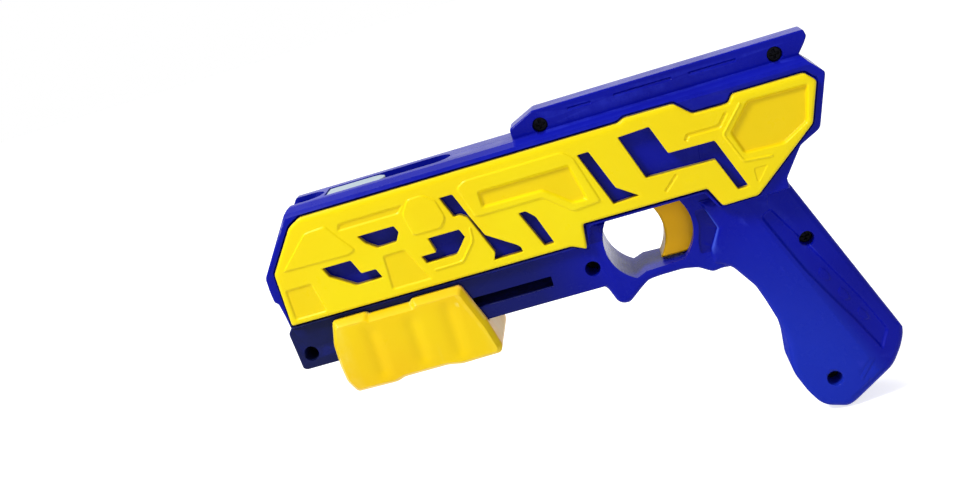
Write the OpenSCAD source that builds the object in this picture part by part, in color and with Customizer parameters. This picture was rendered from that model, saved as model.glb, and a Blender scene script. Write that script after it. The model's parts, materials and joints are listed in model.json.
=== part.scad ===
// Launcher for a spinning top: a pump cocks a sprung carriage, a trigger lets it go,
// and the carriage's nut spins a twisted spindle with the top's stem in its chuck.
// Millimetres. The muzzle points to -X, +Z is up, and the left side is at -Y.
// The origin is the centre of the stem socket's mouth.

/* [Housing] */
// Length of the housing, from the muzzle to the end of the sight rail
body_l = 200; // [190:1:215]
// Height of the barrel, from the lower edge of its side covers to the deck
barrel_h = 40; // [38:0.5:44]
// Width of the barrel over its flat sides
body_w = 30; // [28:0.5:36]
// Wall of the moulded shells
wall = 2; // [1.6:0.1:2.4]
// Width of the flat of the deck on top of the barrel
deck_w = 20; // [16:0.5:24]
// Fall of the deck's bevel, from the flat to its outer edge
deck_fall = 1.2; // [0.6:0.1:2]
// Width of the round-off between the deck's bevel and the side
deck_edge = 1; // [0.5:0.1:2]
// Width of the sight rail
rail_w = 11.4; // [10:0.2:14]
// Width of the housing below the barrel, which the pump runs on
lower_w = 28; // [26:0.5:30]
// Width of the finger guard at its rear, where it meets the grip
guard_w = 20; // [18:0.5:22]
// Radius of the finger hole
finger_r = 15.6; // [15:0.1:16.2]
// Width of the grip
grip_w = 24; // [22:0.5:28]
// Length of the grip below the barrel
grip_l = 84; // [76:1:92]
// Slant of the grip from upright, in degrees
grip_slant = 22.4; // [20:0.1:25]
// Width of the grip's bevelled rear strip
grip_bevel = 15.5; // [12:0.5:18]
// Width of the grip's back edge
grip_back_w = 13; // [10:0.5:16]

/* [Covers] */
// Thickness of a side cover
cover_t = 2; // [1.5:0.1:3]
// Diameter of the pegs behind a side cover
peg_d = 3.6; // [3:0.1:4.5]
// Length of the pegs inside the housing wall
peg_l = 1.2; // [0.8:0.1:2]

/* [Muzzle] */
// Depth of the socket's mouth behind the muzzle
mouth_d = 5; // [4:0.5:7]
// Diameter of the stem socket
socket_d = 7; // [6:0.1:8]
// Depth of the stem socket
socket_l = 9; // [7:0.5:11]
// Diameter of the chuck
chuck_d = 13; // [12:0.1:13.6]
// Thickness of the chuck's floor behind the socket
chuck_floor = 3; // [2:0.1:4]
// Width of the three slots in the chuck's wall
chuck_slot_w = 1.2; // [0.8:0.1:1.6]
// Thickness of the muzzle ring's wall
ring_t = 2; // [1.5:0.1:2.5]
// Width and thickness of the muzzle ring's flange
ring_flange = 1.5; // [1:0.1:1.8]

/* [Spindle] */
// Diameter of the front journal
front_journal_d = 6; // [5:0.1:7]
// Diameter of the rear journal
rear_journal_d = 5; // [4:0.1:5.6]
// Width of the twisted bar
bar_w = 6; // [5:0.1:6.4]
// Thickness of the twisted bar
bar_t = 2; // [1.5:0.1:2.4]
// Travel for one full turn of the twisted bar
lead = 32; // [28:1:40]
// Length of the front bearing
front_bearing_l = 5; // [4:0.1:6]
// Length of the rear bearing
rear_bearing_l = 3.5; // [3:0.1:4]
// Wall of the bearings
bearing_t = 2.95; // [2:0.05:3.2]
// Thickness of the washers and the retaining clip
washer_t = 1; // [0.8:0.1:1.2]

/* [Carriage] */
// Travel of the pump and the carriage
travel = 24; // [20:0.5:25]
// Thickness of the bumper ring in front of the carriage
bumper_t = 2.8; // [2:0.1:4]
// Length of the carriage
carriage_l = 22.3; // [20:0.1:24]
// Width of the carriage's tab in the deck slot
tab_w = 11.2; // [9:0.1:12]
// Height of the carriage's body around the spindle
carriage_h = 12; // [11:0.1:13]
// Thickness of the nut plate
nut_t = 1.5; // [1:0.1:2]
// Diameter of the main spring over its coils
spring_d = 11; // [10:0.1:11.4]
// Wire of the main spring
spring_wire = 1.1; // [0.9:0.1:1.4]
// Coils of the main spring
spring_turns = 13; // [10:1:14]
// Length of the carriage's foot along the barrel
foot_l = 10; // [8:0.1:12]
// Width of the carriage's foot
foot_w = 8; // [6:0.1:10]

/* [Pump] */
// Length of the pump grip
pump_l = 57.5; // [54:0.5:60]
// Height of the pump grip
pump_h = 27.7; // [25:0.1:30]
// Width of the pump grip
pump_w = 36.6; // [35:0.1:40]
// Distance of the pump's front from the muzzle
pump_x = 15; // [12:0.5:18]
// Height of the side slots that the pump's lugs run in
side_slot_h = 4; // [3:0.1:5]
// Length of the slide block inside the pump
slide_l = 29.5; // [26:0.5:32]
// Height of the slide block
slide_h = 6.5; // [6:0.1:7]

/* [Trigger and sear] */
// Travel of the trigger
trigger_travel = 4; // [3:0.1:4.5]
// Width of the trigger's blade
trigger_w = 12; // [10:0.1:13]
// Width of the trigger bar
bar_y = 6; // [4:0.1:8]
// Thickness of the sear lever
sear_t = 4; // [3:0.1:5]
// Diameter of the sear pin
sear_pin_d = 3; // [2.5:0.1:3.5]
// Distance from the sear pin to the face of its nose
sear_reach = 10; // [9:0.1:11]
// Length of the sear's nose and of the carriage's catch along the barrel
catch_t = 1.5; // [1.2:0.1:1.5]
// Height of the carriage's catch
catch_h = 1.8; // [1.4:0.1:2]
// Diameter of the sear spring over its coils
sear_spring_d = 3.6; // [3:0.1:4]
// Wire of the sear spring
sear_wire = 0.6; // [0.4:0.05:0.7]
// Length of the sear spring
sear_spring_l = 5.8; // [5.6:0.1:7]
// Diameter of the trigger spring over its coils
trigger_spring_d = 6.4; // [5:0.1:7]
// Wire of the trigger spring
trigger_wire = 0.8; // [0.6:0.05:0.9]

/* [Screws] */
// Diameter of the screws' shanks
screw_d = 2.5; // [2:0.1:3]
// Diameter of the screws' heads
head_d = 4.8; // [4:0.1:5]
// Height of the screws' heads
head_h = 1.8; // [1.4:0.1:2]
// Length of the screws below their heads
screw_l = 5.7; // [5:0.1:5.9]
// Diameter of the holes down to the screws' heads
well_d = 5.4; // [5.2:0.1:6]
// Diameter of the bosses round the screws
boss_d = 8; // [7.6:0.1:9]

/* [Clearances] */
// Gap between sliding pieces
slide_gap = 0.4; // [0.3:0.05:0.5]
// Gap between pieces that stop against each other
stop_gap = 0.3; // [0.2:0.05:0.4]
// Running clearance on the radius of journals and pins
run_gap = 0.05; // [0.03:0.01:0.08]

/* [Hidden] */
$fn = 64;

// Overrun of every cut past the face that it opens
over = 1;

// Outlines are shares of the housing's length and of the barrel's height, [x, z].
barrel_shares = [
    [0.011, -0.515], [0.5575, -0.515], [0.5675, -0.355], [0.7675, -0.355],
    [0.785, -0.515], [0.907, -0.515], [0.906, -0.425], [0.926, -0.2875],
    [0.9415, -0.1825], [0.975, -0.1], [0.98, -0.075], [1.0095, 0.355], [0.98, 0.515],
    [0.071, 0.515], [0.0665, 0.485], [-0.0025, -0.01], [-0.003, -0.135],
    [-0.0015, -0.2375], [0.0045, -0.2625], [0.0085, -0.3875]
];
lower_shares = [
    [0.0125, -0.915], [0.58, -0.915], [0.58, -0.355], [0.55, -0.355], [0.55, -0.5],
    [0.011, -0.5], [0.002, -0.555], [0.0045, -0.75], [0.006, -0.895]
];
rail_shares = [
    [0.48, 0.5], [0.98, 0.5], [0.98, 0.515], [0.993, 0.595], [1, 0.65], [0.997, 0.71],
    [0.526, 0.7075], [0.48, 0.605]
];
guard_shares = [
    [0.555, -0.35], [0.555, -0.9], [0.565, -0.9375], [0.575, -1.075], [0.5825, -1.1075],
    [0.595, -1.12], [0.605, -1.0875], [0.62, -1.03], [0.6375, -0.975], [0.66, -0.97],
    [0.7, -0.975], [0.725, -1.005], [0.7375, -1.05], [0.7475, -1.08], [0.765, -1.0675],
    [0.78, -1.08], [0.86, -0.75], [0.88, -0.35]
];
// The grip's heights are shares of its own length, counted from the barrel's foot.
grip_shares = [
    [0.755, 0.03], [0.7725, -0.095], [0.7525, -0.173], [0.75, -0.24], [0.78, -0.274],
    [0.81, -0.381], [0.82, -0.452], [0.83, -0.536], [0.8365, -0.607], [0.8375, -0.667],
    [0.8335, -0.774], [0.8365, -0.81], [0.85, -0.893], [0.865, -0.952],
    [0.8775, -0.974], [0.91, -0.996], [0.9225, -0.986], [1.005, -0.869],
    [1.025, -0.81], [1.035, -0.762], [1.0375, -0.714], [1.03, -0.699], [0.91, -0.007],
    [0.9075, 0.03]
];
grip_foot_share = -0.5;
cover_shares = [
    [0.017, -0.4725], [0.018, 0.0125], [0.07, 0.375], [0.0925, 0.435], [0.66, 0.4375],
    [0.6725, 0.465], [0.757, 0.46], [0.7835, 0.3375], [0.844, 0.335], [0.854, 0.4],
    [0.975, 0.4], [0.991, 0.315], [0.968, -0.0225], [0.955, -0.075], [0.853, -0.485],
    [0.7915, -0.49], [0.774, -0.31], [0.557, -0.3075], [0.552, -0.53], [0.5275, -0.47]
];
window_shares = [
    [[0.1795, 0.135], [0.246, 0.135], [0.251, 0.0725], [0.242, -0.005],
     [0.2075, -0.01], [0.19, 0.055]],
    [[0.102, -0.05], [0.155, -0.05], [0.166, -0.185], [0.1925, -0.185],
     [0.1995, -0.275], [0.1515, -0.2775], [0.11, -0.14]],
    [[0.2955, -0.0525], [0.352, -0.0525], [0.358, -0.13], [0.335, -0.26],
     [0.281, -0.2625], [0.275, -0.19], [0.3025, -0.19]],
    [[0.3355, 0.2575], [0.359, 0.2575], [0.3755, 0.0375], [0.392, -0.1625],
     [0.44, -0.325], [0.4445, -0.35], [0.446, -0.3975], [0.394, -0.3975],
     [0.3995, -0.335], [0.3725, 0.025], [0.361, 0.065], [0.35, 0.065]],
    [[0.4575, -0.0625], [0.47, -0.06], [0.484, -0.13], [0.502, -0.3975],
     [0.4845, -0.3975]],
    [[0.5805, 0.2775], [0.6005, 0.28], [0.6275, -0.08], [0.662, -0.2025],
     [0.617, -0.215]],
    [[0.654, 0.325], [0.7085, 0.3375], [0.7275, 0.0775], [0.8065, 0.07],
     [0.8415, -0.3875], [0.823, -0.3875], [0.8, -0.09], [0.681, -0.075]]
];
peg_shares = [[0.135, 0.3], [0.485, 0.25], [0.92, 0.125], [0.225, -0.375], [0.75, -0.2]];
screw_shares = [
    [0.03, -0.7775], [0.5505, -0.7275], [0.5325, 0.5675], [0.942, 0.575],
    [0.9145, -1.0225]
];
grip_screw_share = [0.8995, -0.855];
// The pump's outline in shares of its own length and height, from its top front corner.
pump_shares = [
    [0.043, 0], [0.003, -0.31], [0, -0.6], [0.009, -0.82], [0.052, -0.99], [0.313, -1],
    [0.365, -0.964], [0.643, -0.964], [0.73, -1], [0.98, -0.99], [1, -0.9],
    [0.957, -0.53], [0.861, 0], [0.555, 0], [0.535, -0.038], [0.275, -0.038], [0.255, 0]
];

// Turns shares of the housing into a point of the side view
function px(share) = share * body_l - mouth_d;
function pz(share) = share * barrel_h;
function side(shares) = [for (p = shares) [px(p[0]), pz(p[1])]];
function grip_point(p) = [px(p[0]), pz(grip_foot_share) + p[1] * grip_l];

// Moves each corner of a counter-clockwise outline inwards by d
function inset(p, d) = [
    for (i = [0 : len(p) - 1])
    let (
        a = p[(i + len(p) - 1) % len(p)],
        b = p[i],
        c = p[(i + 1) % len(p)],
        u = (b - a) / norm(b - a),
        v = (c - b) / norm(c - b),
        m = [-u[1], u[0]],
        n = [-v[1], v[0]]
    )
    b + (m + n) * (d / (1 + m * n))
];

deck_z = pz(0.515);
roof_z = deck_z - wall;
side_y = body_w / 2;
inner_y = side_y - wall;
lower_y = lower_w / 2;
lower_z = pz(-0.915);
foot_z = pz(grip_foot_share);
floor_z = pz(-0.355) + wall;
grip_points = [for (p = grip_shares) grip_point(p)];

// Stations along the barrel, from the socket's mouth to the rear
chuck_l = socket_l + chuck_floor;
thrust_x = chuck_l + stop_gap / 2;
front_rib_x = thrust_x + washer_t + stop_gap / 2;
bumper_x = front_rib_x + front_bearing_l;
carriage_x = bumper_x + bumper_t + stop_gap;
carriage_end = carriage_x + carriage_l;
web_x = px(0.565);
sear_hub_d = 6;
sear_hub_room = 1;
sear_x = web_x - sear_hub_d / 2 - sear_hub_room;
nose_x = sear_x - sear_reach;
nose_to_rib = 3;
rear_rib_x = nose_x + nose_to_rib;
spring_end = rear_rib_x - washer_t;
spindle_end = rear_rib_x + rear_bearing_l + 2.5 * washer_t;
spring_l = spring_end - carriage_end;

front_bearing_r = front_journal_d / 2 + bearing_t;
rear_bearing_r = rear_journal_d / 2 + bearing_t;
ring_in = chuck_d / 2 + slide_gap;
ring_out = ring_in + ring_t;
ring_flange_x = px(0.074);
ring_end = ring_flange_x + 2 * ring_flange + wall;

// Heights of the catch under the main spring, and of the sear
tail_h = 3;
tail_top = -spring_d / 2 - wall;
tail_z = tail_top - tail_h;
catch_end = nose_x + stop_gap + catch_t - travel;
nose_top = tail_z - stop_gap;
sear_z = floor_z - 0.9 * wall;
sear_arm_h = 3.4;
sear_arm_z = sear_z - 0.8 * sear_arm_h;
shelf_z = sear_arm_z - sear_spring_l;

slot_y = tab_w / 2 + slide_gap;
slot_x = carriage_x + 0.3 * wall;
slot_end = carriage_end + travel + slide_gap;
notch_end = slot_x - wall / 2;
side_slot_z = pz(-0.74);
slide_inset = 22;
slide_x = px(0) + pump_x + slide_inset;
slide_z = side_slot_z - slide_h / 2;
lug_h = side_slot_h - 2 * slide_gap;
pump_top = pz(-0.5325);
finger_x = px(0.6575);
finger_z = pz(-0.5825);

// Turns a flat outline into a slab between depths y0 and y1 on the left side
module slab(points, y0, y1) {
    translate([0, -y0, 0])
        rotate([90, 0, 0])
            linear_extrude(y1 - y0) polygon(points);
}

// A box from one corner to another
module block(low, high) {
    translate(low) cube(high - low);
}

// A round bar along X, and one along Y on the left side
module round_x(x0, x1, r) {
    translate([x0, 0, 0]) rotate([0, 90, 0]) cylinder(h = x1 - x0, r = r);
}
module round_y(x, z, y0, y1, r) {
    translate([x, -y0, z]) rotate([90, 0, 0]) cylinder(h = y1 - y0, r = r);
}

module other_side() {
    mirror([0, 1, 0]) children();
}

// Everything left of the mid plane that a shell fills before it is hollowed
module deck_section(top, drop) {
    translate([px(-0.05), 0, 0])
        rotate([90, 0, 90])
            linear_extrude(body_l * 1.2)
                polygon([
                    [0, 2 * foot_z], [-side_y + drop, 2 * foot_z],
                    [-side_y + drop, top - 2 * deck_fall],
                    [-side_y + drop + deck_edge, top - deck_fall],
                    [-deck_w / 2, top], [0, top]
                ]);
}

// The grip's section across its slanted axis, cut down by a wall all round
module grip_section(cut) {
    half = grip_w / 2 - cut;
    root = grip_point(grip_shares[22]);
    translate([root[0], 0, root[1]])
        rotate([0, -grip_slant, 0])
            translate([0, 0, -1.5 * grip_l])
                linear_extrude(2 * grip_l)
                    polygon([
                        [-body_l / 4, 0], [-body_l / 4, -half],
                        [-grip_bevel, -half], [-cut, -grip_back_w / 2 + 1.5 * cut],
                        [-cut, 0]
                    ]);
}

module finger_hole(y0, y1) {
    top = pz(-0.355);
    dip = pz(-0.93);
    bottom = pz(-0.8875);
    intersection() {
        round_y(finger_x, finger_z, y0, y1, finger_r);
        slab([
            [finger_x - 2 * finger_r, top], [finger_x - 2 * finger_r, dip],
            [px(0.615), dip], [px(0.6375), bottom], [finger_x + 2 * finger_r, bottom],
            [finger_x + 2 * finger_r, top]
        ], y0, y1);
    }
}

// The finger guard's half width from above: it narrows from the lower housing to the grip
module guard_section() {
    translate([0, 0, 3 * foot_z])
        linear_extrude(-3 * foot_z)
            polygon([
                [px(0.55), 0], [px(0.55), -lower_y], [px(0.58), -lower_y],
                [px(0.74), -guard_w / 2], [px(0.9), -guard_w / 2], [px(0.9), 0]
            ]);
}

module half_outside() {
    intersection() {
        slab(side(barrel_shares), 0, side_y);
        deck_section(deck_z, 0);
    }
    slab(side(rail_shares), 0, rail_w / 2);
    slab(side(lower_shares), 0, lower_y);
    intersection() {
        slab(side(guard_shares), 0, lower_y);
        guard_section();
    }
    intersection() {
        slab(grip_points, 0, grip_w / 2);
        grip_section(0);
    }
}

// The hollows inside one half
module half_hollow() {
    intersection() {
        slab(inset(side(barrel_shares), wall), -over, inner_y);
        deck_section(roof_z, wall);
    }
    block([px(0.016), -lower_y + wall, lower_z + wall], [web_x, over, floor_z + wall]);
    intersection() {
        slab(inset(grip_points, wall), -over, grip_w / 2 - wall);
        grip_section(wall);
    }
    block(
        [px(0.74), -trigger_w / 2 - wall, pz(-0.8725)],
        [px(0.8175), over, pz(-0.2)]
    );
    block([px(0.56), -rail_w / 2 + wall, pz(0.56)], [px(0.915), over, pz(0.66)]);
}

// Ribs and bosses inside one half, trimmed to the housing's outside
module half_ribs() {
    intersection() {
        half_outside();
        union() {
            block([ring_flange_x + ring_flange, -inner_y - over, -inner_y],
                  [ring_end, 0, inner_y]);
            block([front_rib_x, -inner_y - over, -inner_y * 0.7],
                  [bumper_x, 0, inner_y * 0.7]);
            block([rear_rib_x, -inner_y - over, -rear_bearing_r - wall],
                  [rear_rib_x + rear_bearing_l, 0, rear_bearing_r + wall]);
            block([nose_x + catch_t, -lower_y, shelf_z - 0.75 * wall],
                  [sear_x - sear_hub_d / 2, 0, shelf_z]);
            round_y(sear_x, sear_z, sear_t / 2 + slide_gap, lower_y, sear_pin_d / 2 + wall);
            block([px(0.81), -grip_w / 2, pz(-0.75)], [px(0.82), 0, pz(-0.35)]);
            for (s = screw_shares) {
                round_y(px(s[0]), pz(s[1]), 0, side_y, boss_d / 2);
            }
            round_y(grip_point(grip_screw_share)[0], grip_point(grip_screw_share)[1],
                    0, side_y, boss_d / 2);
        }
    }
}

// A cut through the deck, with its rear end rounded
module round_ended_cut(x0, x1) {
    block([x0, -slot_y, roof_z - over], [x1 - slot_y, over, deck_z + over]);
    translate([x1 - slot_y, 0, roof_z - over])
        cylinder(h = wall + 2 * over, r = slot_y);
}

// The openings that both halves share
module half_openings() {
    round_x(px(-0.02), ring_flange_x, ring_out + run_gap);
    round_x(ring_flange_x, ring_flange_x + ring_flange, ring_out + ring_flange + run_gap);
    round_x(ring_flange_x, ring_end + over, ring_out + run_gap);
    round_x(front_rib_x - over, bumper_x + over, front_bearing_r);
    round_x(rear_rib_x - over, rear_rib_x + rear_bearing_l + over, rear_bearing_r);
    round_ended_cut(px(0.04), notch_end);
    round_ended_cut(slot_x, slot_end);
    block([slide_x - slide_gap, -lower_y - over, side_slot_z - side_slot_h / 2],
          [px(0.4775), -lower_y + wall + over, side_slot_z + side_slot_h / 2]);
    finger_hole(-over, side_y);
    block([px(0.69), -trigger_w / 2 - slide_gap, pz(-0.8725)],
          [px(0.74) + over, over, pz(-0.3625)]);
    round_y(sear_x, sear_z, -over, lower_y - wall, sear_pin_d / 2);
    for (s = peg_shares) {
        round_y(px(s[0]), pz(s[1]), 0, side_y + over, peg_d / 2 + run_gap);
    }
}

module half_shell() {
    difference() {
        union() {
            difference() {
                half_outside();
                half_hollow();
            }
            half_ribs();
        }
        half_openings();
    }
}

// Where the six housing screws stand
screw_points = concat(side(screw_shares), [grip_point(grip_screw_share)]);
screw_seat = wall;

module left_shell() {
    color("#1f2bb4")
        difference() {
            half_shell();
            for (p = screw_points) {
                round_y(p[0], p[1], screw_seat, side_y + over, well_d / 2);
                round_y(p[0], p[1], -over, side_y, screw_d / 2 + 6 * run_gap);
            }
        }
}

module right_shell() {
    color("#1f2bb4")
        other_side()
            difference() {
                half_shell();
                for (p = screw_points) {
                    round_y(p[0], p[1], -over, screw_l - wall + stop_gap,
                            screw_d / 2 + run_gap);
                }
            }
}

module cover() {
    difference() {
        slab(side(cover_shares), side_y, side_y + cover_t);
        for (w = window_shares) {
            slab(side(w), side_y - over, side_y + cover_t + over);
        }
    }
    difference() {
        for (s = peg_shares) {
            round_y(px(s[0]), pz(s[1]), inner_y - peg_l, side_y, peg_d / 2);
        }
        for (s = peg_shares) {
            round_y(px(s[0]), pz(s[1]), inner_y - peg_l - over, side_y, peg_d / 4 + run_gap);
        }
    }
}

module left_cover() {
    color("#f6e61a") cover();
}

module right_cover() {
    color("#f6e61a") other_side() cover();
}

module cover_screws() {
    color("silver")
        for (s = peg_shares, flip = [0, 1]) {
            mirror([0, flip, 0])
                union() {
                    round_y(px(s[0]), pz(s[1]), inner_y - peg_l - peg_d / 3,
                            inner_y - peg_l, 2 * peg_d / 3);
                    round_y(px(s[0]), pz(s[1]), inner_y - peg_l, side_y - over, peg_d / 4);
                }
        }
}

module cross_recess(x, z, y) {
    arm = head_d / 6;
    for (turn = [0, 90]) {
        translate([x, -y, z])
            rotate([0, turn, 0])
                cube([arm, head_h, 4 * arm], center = true);
    }
}

// One pan head screw along Y, with its head's seat at depth y
module screw(p, y) {
    difference() {
        union() {
            round_y(p[0], p[1], y, y + head_h, head_d / 2);
            round_y(p[0], p[1], y - screw_l, y, screw_d / 2);
        }
        cross_recess(p[0], p[1], y + head_h);
    }
}

module housing_screws() {
    color("silver")
        for (p = screw_points) {
            screw(p, screw_seat);
        }
}

module muzzle_ring() {
    color("#e08a1c")
        difference() {
            intersection() {
                union() {
                    round_x(px(-0.02), ring_end, ring_out);
                    round_x(ring_flange_x, ring_flange_x + ring_flange,
                            ring_out + ring_flange);
                }
                union() {
                    slab(side(barrel_shares), 0, side_y);
                    other_side() slab(side(barrel_shares), 0, side_y);
                }
            }
            round_x(px(-0.03), ring_end + over, ring_in);
        }
}

module chuck() {
    color("#e8eef0")
        difference() {
            round_x(0, chuck_l, chuck_d / 2);
            round_x(-over, socket_l, socket_d / 2);
            round_x(socket_l - over, chuck_l + over, front_journal_d / 3);
            for (turn = [60, 180, 300]) {
                rotate([turn, 0, 0])
                    block([-over, -chuck_slot_w / 2, 0],
                          [socket_l * 0.8, chuck_slot_w / 2, chuck_d]);
            }
        }
}

bar_x = bumper_x + bumper_t / 4;
bar_end = rear_rib_x - washer_t;
bar_l = bar_end - bar_x;
bar_twist = 360 * bar_l / lead;
function bar_angle(x) = -360 * (x - bar_x) / lead;

module spindle() {
    neck = rear_rib_x + rear_bearing_l + stop_gap;
    color("#9aa0a6")
        union() {
            round_x(socket_l, chuck_l, front_journal_d / 3);
            round_x(chuck_l, bar_x, front_journal_d / 2);
            translate([bar_x, 0, 0])
                rotate([0, 90, 0])
                    linear_extrude(height = bar_l, twist = bar_twist, slices = 80, segments = 4)
                        square([bar_t, bar_w], center = true);
            round_x(bar_end, neck, rear_journal_d / 2);
            round_x(neck, neck + washer_t, rear_journal_d / 3);
            round_x(neck + washer_t, spindle_end, rear_journal_d / 2);
        }
}

module bush(x0, x1, r_in, r_out) {
    difference() {
        round_x(x0, x1, r_out);
        round_x(x0 - over, x1 + over, r_in);
    }
}

module front_bearing() {
    color("#d8d4c8")
        bush(front_rib_x, bumper_x, front_journal_d / 2 + run_gap, front_bearing_r);
}

module rear_bearing() {
    color("#d8d4c8")
        bush(rear_rib_x, rear_rib_x + rear_bearing_l, rear_journal_d / 2 + run_gap,
             rear_bearing_r);
}

module thrust_washer() {
    color("silver")
        bush(thrust_x, thrust_x + washer_t, front_journal_d / 2 + run_gap,
             front_bearing_r);
}

module retaining_clip() {
    neck = rear_rib_x + rear_bearing_l + stop_gap;
    color("silver")
        difference() {
            bush(neck, neck + washer_t, rear_journal_d / 3, rear_journal_d * 0.9);
            block([neck - over, -rear_journal_d / 4, 0],
                  [neck + washer_t + over, rear_journal_d / 4, rear_journal_d]);
        }
}

module spring_washer() {
    color("silver")
        bush(spring_end, rear_rib_x, bar_w / 2 + 2 * slide_gap, spring_d / 2 + washer_t);
}

module bumper() {
    color("#2c2c2e")
        bush(bumper_x, bumper_x + bumper_t, bar_w / 2 + 2 * slide_gap, carriage_h / 2);
}

foot_x = carriage_end - foot_l - stop_gap;
nut_x = carriage_x + wall;
nut_y = carriage_h / 3;

module carriage() {
    half_h = carriage_h / 2;
    neck_y = foot_w * 0.4;
    color("#dfe9ec")
        difference() {
            union() {
                block([carriage_x, -half_h, -half_h], [carriage_end, half_h, half_h]);
                block([carriage_x + wall, -neck_y, 0],
                      [carriage_end - wall, neck_y, roof_z - wall]);
                block([slot_x + stop_gap, -tab_w / 2, roof_z - 1.5 * wall],
                      [carriage_end - tab_w / 2, tab_w / 2, deck_z - stop_gap]);
                translate([carriage_end - tab_w / 2, 0, roof_z - 1.5 * wall])
                    cylinder(h = 2.5 * wall - stop_gap, r = tab_w / 2);
                block([foot_x, -foot_w / 2, slide_z + slide_h / 2],
                      [foot_x + foot_l, foot_w / 2, 0]);
                block([foot_x, -tail_h, tail_z], [catch_end, tail_h, tail_top]);
                block([catch_end - catch_t, -tail_h, tail_z - catch_h],
                      [catch_end, tail_h, tail_top]);
            }
            round_x(carriage_x - over, carriage_end + over, bar_w / 2 + 2 * slide_gap);
            block([nut_x, -nut_y, -nut_y], [nut_x + nut_t, nut_y, nut_y]);
        }
}

module spindle_nut() {
    middle = nut_x + nut_t / 2;
    spread = 180 * nut_t / lead;
    slot_t = bar_t * cos(spread) + bar_w * sin(spread) + slide_gap;
    color("#c9a227")
        difference() {
            block([nut_x, -nut_y, -nut_y], [nut_x + nut_t, nut_y, nut_y]);
            rotate([bar_angle(middle), 0, 0])
                rotate([0, 90, 0])
                    translate([0, 0, middle])
                        cube([slot_t, bar_w + 2 * slide_gap, 2 * nut_t], center = true);
        }
}

// Points of a helix: one turn has coil_steps rings, and the wire has wire_sides sides
coil_steps = 8;
wire_sides = 6;

// A compression spring along Z as one closed tube, from height 0 to its length
module coil(length, r, wire_r, turns) {
    rings = turns * coil_steps;
    rise = (length - 2 * wire_r) / rings;
    points = [
        for (i = [0 : rings], k = [0 : wire_sides - 1])
        let (a = 360 * i / coil_steps, b = 360 * k / wire_sides)
        [
            (r + wire_r * cos(b)) * cos(a),
            (r + wire_r * cos(b)) * sin(a),
            wire_r + i * rise + wire_r * sin(b)
        ]
    ];
    sides = [
        for (i = [0 : rings - 1], k = [0 : wire_sides - 1])
        let (
            a = i * wire_sides + k,
            b = i * wire_sides + (k + 1) % wire_sides,
            c = b + wire_sides,
            d = a + wire_sides
        )
        each [[a, c, b], [a, d, c]]
    ];
    first = [for (k = [1 : wire_sides - 2]) [0, k, k + 1]];
    last_ring = rings * wire_sides;
    last = [for (k = [1 : wire_sides - 2]) [last_ring, last_ring + k + 1, last_ring + k]];
    gap = (length - 2 * wire_r) / turns - 2 * wire_r;
    echo(least_gap_between_coils = gap);
    polyhedron(points = points, faces = concat(sides, first, last), convexity = 10);
}

module main_spring() {
    color("#8f959b")
        translate([carriage_end + run_gap, 0, 0])
            rotate([0, 90, 0])
                coil(spring_l - 2 * run_gap, (spring_d - spring_wire) / 2, spring_wire / 2,
                     spring_turns);
}

module slide_block() {
    inner = lower_y - wall - slide_gap;
    lug_y = pump_w / 2 - wall;
    color("#3a3d44")
        difference() {
            union() {
                block([slide_x, -inner, slide_z], [slide_x + slide_l, inner, slide_z + slide_h]);
                block([slide_x, -lug_y, side_slot_z - lug_h / 2],
                      [slide_x + slide_l, lug_y, side_slot_z + lug_h / 2]);
            }
            block([foot_x, -foot_w / 2, slide_z + slide_h / 2],
                  [foot_x + foot_l, foot_w / 2, slide_z + slide_h + over]);
        }
}

pump_points = [
    for (p = pump_shares) [px(0) + pump_x + p[0] * pump_l, pump_top + p[1] * pump_h]
];
pump_screw_points = [
    for (s = [0.24, 0.78]) [px(0) + pump_x + s * pump_l, pump_top - 0.79 * pump_h]
];

module pump_half() {
    channel_z = lower_z - slide_gap;
    difference() {
        slab(pump_points, 0, pump_w / 2);
        block([px(0), -lower_y - slide_gap, channel_z],
              [px(0) + pump_x + 2 * pump_l, over, 0]);
        block([slide_x, -pump_w / 2 + wall, side_slot_z - lug_h / 2],
              [slide_x + slide_l, 0, side_slot_z + lug_h / 2]);
        difference() {
            block([pump_screw_points[0][0] - boss_d, -pump_w / 2 + 1.5 * wall,
                   pump_top - 0.9 * pump_h],
                  [pump_screw_points[1][0] + boss_d, over, channel_z - wall]);
            for (p = pump_screw_points) {
                round_y(p[0], p[1], -over, pump_w / 2, boss_d / 2);
            }
        }
    }
}

module pump_left_half() {
    color("#f4d21e")
        difference() {
            pump_half();
            for (p = pump_screw_points) {
                round_y(p[0], p[1], -over, screw_l - wall + stop_gap,
                        screw_d / 2 + run_gap);
            }
        }
}

module pump_right_half() {
    color("#f4d21e")
        other_side()
            difference() {
                pump_half();
                for (p = pump_screw_points) {
                    round_y(p[0], p[1], screw_seat, pump_w / 2 + over, well_d / 2);
                    round_y(p[0], p[1], -over, pump_w / 2, screw_d / 2 + 6 * run_gap);
                }
            }
}

module pump_screws() {
    color("silver")
        other_side()
            for (p = pump_screw_points) {
                screw(p, screw_seat);
            }
}

// The sear's rear arm in shares of its reach and rise, [x, z] from its pin. Its tip, the
// fourth and fifth points, rides on the trigger bar's ramp.
lever_shares = [
    [-0.1, 0.22], [0.24, 1], [1.4, 1], [1.4, 0.48], [1.2, 0.48], [1.08, 0.74],
    [0.6, 0.74], [0.37, 0.2], [0.25, -0.13]
];
lever_rise = 11.5;
function lever(p) = [sear_x + p[0] * sear_reach, sear_z + p[1] * lever_rise];
tip_end = lever(lever_shares[3])[0];
tip_x = lever(lever_shares[4])[0];
tip_z = lever(lever_shares[4])[1];
ramp_slope = 0.43;
ramp_gap = 0.2;
trigger_bar_h = 2.7;
bar_z = floor_z + slide_gap;
bar_top = bar_z + trigger_bar_h;

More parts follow.
